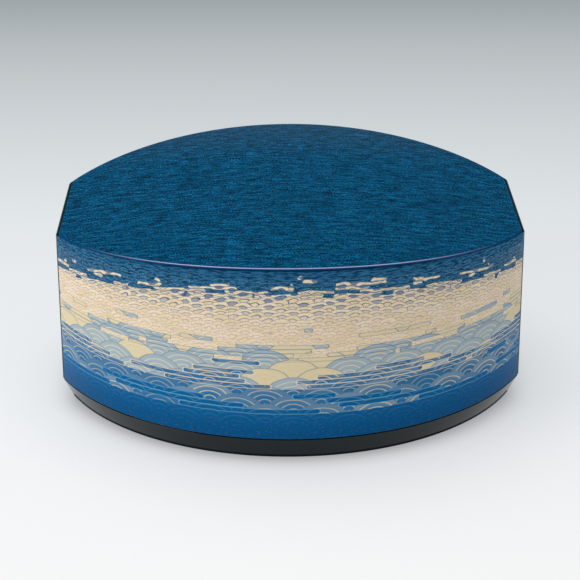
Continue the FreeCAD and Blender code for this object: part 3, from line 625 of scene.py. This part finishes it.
def make_tuft(name, node, sides=72, steps=40, locks=17, groove=0.035):
    """A tuft of hair round its own axis, as long as the solid, grooved into locks.

    Inside the ferrule it's a plain stem; groove is the grooves' depth as a share of the girth.
    """
    low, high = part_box(node)
    middle = (low + high) / 2
    radius = (high.x - low.x) / 2
    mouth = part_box(node.replace("tuft", "ferrule"))[0].y
    root, tip = high.y, low.y
    points, faces = [], []
    for step in range(steps + 1):
        share = step / steps
        y = root + (tip - root) * share
        free = max((mouth - y) / (mouth - tip), 0.0)
        girth = radius * 0.985 if free == 0 else profile_radius(free, radius * 0.97, 0.25 * MM)
        for side in range(sides):
            angle = math.tau * side / sides
            wave = 0.5 + 0.5 * math.sin(angle * locks + share * 2)
            reach = girth * (1.0 - groove * wave * min(free * 4, 1.0))
            across, up = reach * math.cos(angle), reach * math.sin(angle)
            points.append((middle.x + across, y, middle.z + up))
    for step in range(steps):
        for side in range(sides):
            after = (side + 1) % sides
            a, b = step * sides + side, step * sides + after
            faces.append((a, b, b + sides, a + sides))
    faces.append(tuple(range(sides)))
    faces.append(tuple(reversed(range(steps * sides, (steps + 1) * sides))))
    piece = add_mesh(name, points, faces)
    piece.data.polygons.foreach_set("use_smooth", [len(face) == 4 for face in faces])
    return piece


def plinth_section():
    """The plinth's outline: inset of the curved sides, inset of the ends and height of each point.

    Outside, a shadow line under the lid, a long bevel with a softened lower edge and a set-back
    foot. Inside, the ledge that carries the bottom board.
    """
    ledge = HALF_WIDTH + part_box("plinth_left")[1].x
    wall = HALF_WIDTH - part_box("body_wall_right")[1].x
    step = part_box("bottom_board")[0].z
    outside = [
        (1.3, 1.3, 14.0),
        (1.3, 1.3, 13.6),
        (0.6, 0.6, 13.5),
        (0.5, 0.5, 13.3),
        (6.7, 4.1, 1.95),
        (6.9, 4.3, 1.7),
        (7.0, 4.4, 1.4),
        (7.4, 4.8, 1.3),
        (7.4, 4.8, 0.0),
    ]
    inside = [(ledge, ledge, 0.0), (ledge, ledge, step), (wall, wall, step), (wall, wall, LID_LOW)]
    return [(arc * MM, end * MM, height * MM) for arc, end, height in outside] + inside


def make_plinth_side(name, side, steps=72):
    """One side of the plinth, swept along the plan from corner to corner, where sides meet."""
    section = plinth_section()
    curved = side in ("front", "rear")
    sign = -1 if side in ("front", "left") else 1
    points, faces = [], []
    spans = steps if curved else 1
    for step in range(spans + 1):
        along = 2 * step / spans - 1
        for arc, end, height in section:
            half = HALF_WIDTH - end
            radius = ARC_RADIUS - arc
            if curved:
                x = radius * math.sin(along * math.asin(half / radius))
                points.append((x, sign * (math.sqrt(radius**2 - x**2) - ARC_CENTRE), height))
            else:
                depth = math.sqrt(radius**2 - half**2) - ARC_CENTRE
                points.append((sign * half, along * depth, height))
    count = len(section)
    flip = side in ("front", "right")
    for step in range(spans):
        for edge in range(count):
            after = (edge + 1) % count
            a, b = step * count + edge, step * count + after
            face = (a, b, b + count, a + count)
            faces.append(face[::-1] if flip else face)
    first, last = tuple(range(count)), tuple(range(spans * count, (spans + 1) * count))
    faces += [first, last[::-1]] if flip else [first[::-1], last]
    piece = add_mesh(name, points, faces)
    piece.data.polygons.foreach_set("use_smooth", [True] * len(faces))
    piece.data.set_sharp_from_angle(angle=math.radians(18))
    return piece


# ------------------------------------------------------------------------------------------------
# Dress the solids.


def dress(material, *names):
    """Give the solids of these names one material."""
    for name in names:
        mesh = solids[name].data
        mesh.materials.clear()
        mesh.materials.append(material)


def starting(prefix):
    """Names of the solids that start with the prefix."""
    return [name for name in solids if name.startswith(prefix)]


black = lacquer("black_lacquer")
nashiji = lacquer("sprinkled_lacquer", rgb(26, 15, 10), gold=0.08, roughness=0.14)
polished = lacquer("polished_lacquer", roughness=0.07, gloss=0.42)
pale_bamboo = bamboo("handle_bamboo", rgb(206, 168, 104), rgb(160, 116, 62))
brown_bamboo = bamboo("cap_bamboo", rgb(188, 142, 84), rgb(134, 90, 48))
brass = metal("ferrule_brass", rgb(212, 172, 96), rgb(150, 112, 56), (2.0, 0.25, 2.0), 0.18)
for prefix in ("plinth_", "body_wall_", "tray_", "brush_rest_", "knife_rest_"):
    dress(black, *starting(prefix))
dress(black, "knife_handle")
dress(polished, "lid_wall_left", "lid_wall_right")
dress(nashiji, "bottom_board", "tray_floor", "inkstone_bed")
dress(decorated_wall(), "lid_wall_front", "lid_wall_rear")
dress(engraved_top(), "lid_top_board")
dress(slate(), "inkstone")
dress(silver(), "dropper_shell", "dropper_base")
dress(ink_cake(), "ink_stick")
dress(pale_bamboo, "brush_large_handle", "brush_small_handle")
dress(brown_bamboo, "brush_large_cap", "brush_small_cap")
dress(horn(), "brush_large_ferrule", "brush_small_ferrule")
dress(brass, "knife_ferrule")
dress(blade_steel(), "knife_blade")
hair_material = hair()
for size in ("large", "small"):
    solid = f"brush_{size}_tuft"
    piece = make_tuft(f"{solid}_hair", solid)
    piece.data.materials.append(hair_material)
    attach(piece, f"brush_{size}")
    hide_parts(solid)
for side in ("front", "rear", "left", "right"):
    piece = make_plinth_side(f"plinth_{side}_moulding", side)
    piece.data.materials.append(black)
    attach(piece, "box_body")
    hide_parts(f"plinth_{side}")

# ------------------------------------------------------------------------------------------------
# Floor, light and camera. The camera is the one that was fitted to the photograph.

LAMP_TARGET = Vector((0.0, 0.0, 0.05))
CAMERA_PLACE = Vector((-0.0136, -1.0727, 0.4971))
CAMERA_TARGET = Vector((0.0001, 0.0, 0.0499))
CAMERA_ROLL = math.radians(0.2)
LENS, SENSOR = 123.51, 36.0  # in millimetres


def make_floor(reach=40.0):
    """A pale floor, with painted shade that darkens it towards the back of the table and a painted
    contact shadow under the box's edge.
    """
    signs = ((-1, -1), (1, -1), (1, 1), (-1, 1))
    floor = add_mesh("floor", [(x * reach, y * reach, 0.0) for x, y in signs], [(0, 1, 2, 3)])
    paint = Paint("pale_paper", Roughness=0.9, Specular_IOR_Level=0.0)
    # Painted shade: the floor darkens towards the back of the table, where the light falls off.
    colour = paint.bands(
        paint.y.share(-0.25, 0.95),
        [
            (0.0, rgb(248, 248, 248)),
            (0.22, rgb(238, 241, 244)),
            (0.42, rgb(226, 230, 233)),
            (0.62, rgb(205, 210, 213)),
            (0.78, rgb(187, 192, 195)),
            (0.95, rgb(158, 166, 170)),
        ],
    )
    # Painted shadow: the floor's colour is darkened where the box's edge hides it, a contact shadow
    # drawn into the floor.
    contact = paint.tree.nodes.new("ShaderNodeAmbientOcclusion")
    contact.inputs["Distance"].default_value = 17 * MM
    contact_shade = Signal(paint.tree, contact.outputs["AO"]).inverse()
    colour = paint.blend(colour, rgb(72, 80, 86), contact_shade * contact_shade * 0.8)
    horizon = distance(paint.x, paint.y).rise(1.5, 5.0)
    colour = paint.blend(colour, BACKDROP, horizon)
    floor.data.materials.append(paint.finish(colour))
    lift_shadow(paint, colour, horizon)


def seen_ray(tree):
    """1 for a ray from the camera, also by way of a glossy or a clear surface."""
    path = tree.nodes.new("ShaderNodeLightPath")
    kinds = ("Camera", "Glossy", "Transmission")
    camera, glossy, clear = [Signal(tree, path.outputs[f"Is {kind} Ray"]) for kind in kinds]
    return camera.most(glossy).most(clear)


def lift_shadow(paint, colour, horizon):
    """Over half of what the eye sees of the floor is its own colour, so that shadows stay light.

    At the horizon it's all of it, and the floor runs into the backdrop.
    """
    tree = paint.tree
    glow = tree.nodes.new("ShaderNodeEmission")
    tree.links.new(colour, glow.inputs["Color"])
    mix = tree.nodes.new("ShaderNodeMixShader")
    tree.links.new((seen_ray(tree) * (horizon * 0.4 + 0.6)).socket, mix.inputs[0])
    tree.links.new(paint.shader.outputs[0], mix.inputs[1])
    tree.links.new(glow.outputs[0], mix.inputs[2])
    tree.links.new(mix.outputs[0], tree.nodes["Material Output"].inputs["Surface"])


def make_light(name, place, size, power, colour=(1.0, 1.0, 1.0)):
    """A round soft lamp that faces the box."""
    data = bpy.data.lights.new(name, "AREA")
    data.shape = "DISK"
    data.size = size
    data.energy = power
    data.color = colour
    light = bpy.data.objects.new(name, data)
    bpy.context.scene.collection.objects.link(light)
    light.location = place
    aim = LAMP_TARGET - Vector(place)
    light.rotation_euler = aim.to_track_quat("-Z", "Y").to_euler()


def make_world():
    """Even light on the box, and a paler backdrop where the eye or a reflection meets it."""
    world = bpy.data.worlds.new("studio")
    bpy.context.scene.world = world
    world.use_nodes = True
    tree = world.node_tree
    light = tree.nodes["Background"]
    light.inputs["Color"].default_value = (0.95, 0.98, 1.0, 1.0)
    light.inputs["Strength"].default_value = 0.54
    backdrop = tree.nodes.new("ShaderNodeBackground")
    backdrop.inputs["Color"].default_value = BACKDROP
    mix = tree.nodes.new("ShaderNodeMixShader")
    tree.links.new(seen_ray(tree).socket, mix.inputs[0])
    tree.links.new(light.outputs[0], mix.inputs[1])
    tree.links.new(backdrop.outputs[0], mix.inputs[2])
    tree.links.new(mix.outputs[0], tree.nodes["World Output"].inputs["Surface"])


def make_camera():
    """The photograph's view, with its slight roll."""
    data = bpy.data.cameras.new("camera")
    data.lens = LENS
    data.sensor_width = SENSOR
    camera = bpy.data.objects.new("camera", data)
    bpy.context.scene.collection.objects.link(camera)
    aim = (CAMERA_TARGET - CAMERA_PLACE).to_track_quat("-Z", "Y").to_matrix().to_4x4()
    roll = Matrix.Rotation(-CAMERA_ROLL, 4, "Z")
    camera.matrix_world = Matrix.Translation(CAMERA_PLACE) @ aim @ roll
    bpy.context.scene.camera = camera


make_floor()
make_world()
make_light("key", place=(-0.35, 0.5, 2.0), size=2.0, power=20.0, colour=(1.0, 0.992, 0.98))
make_light("fill", place=(-1.6, -0.9, 0.9), size=1.2, power=11.0)
make_camera()
bpy.context.scene.view_settings.view_transform = "Standard"
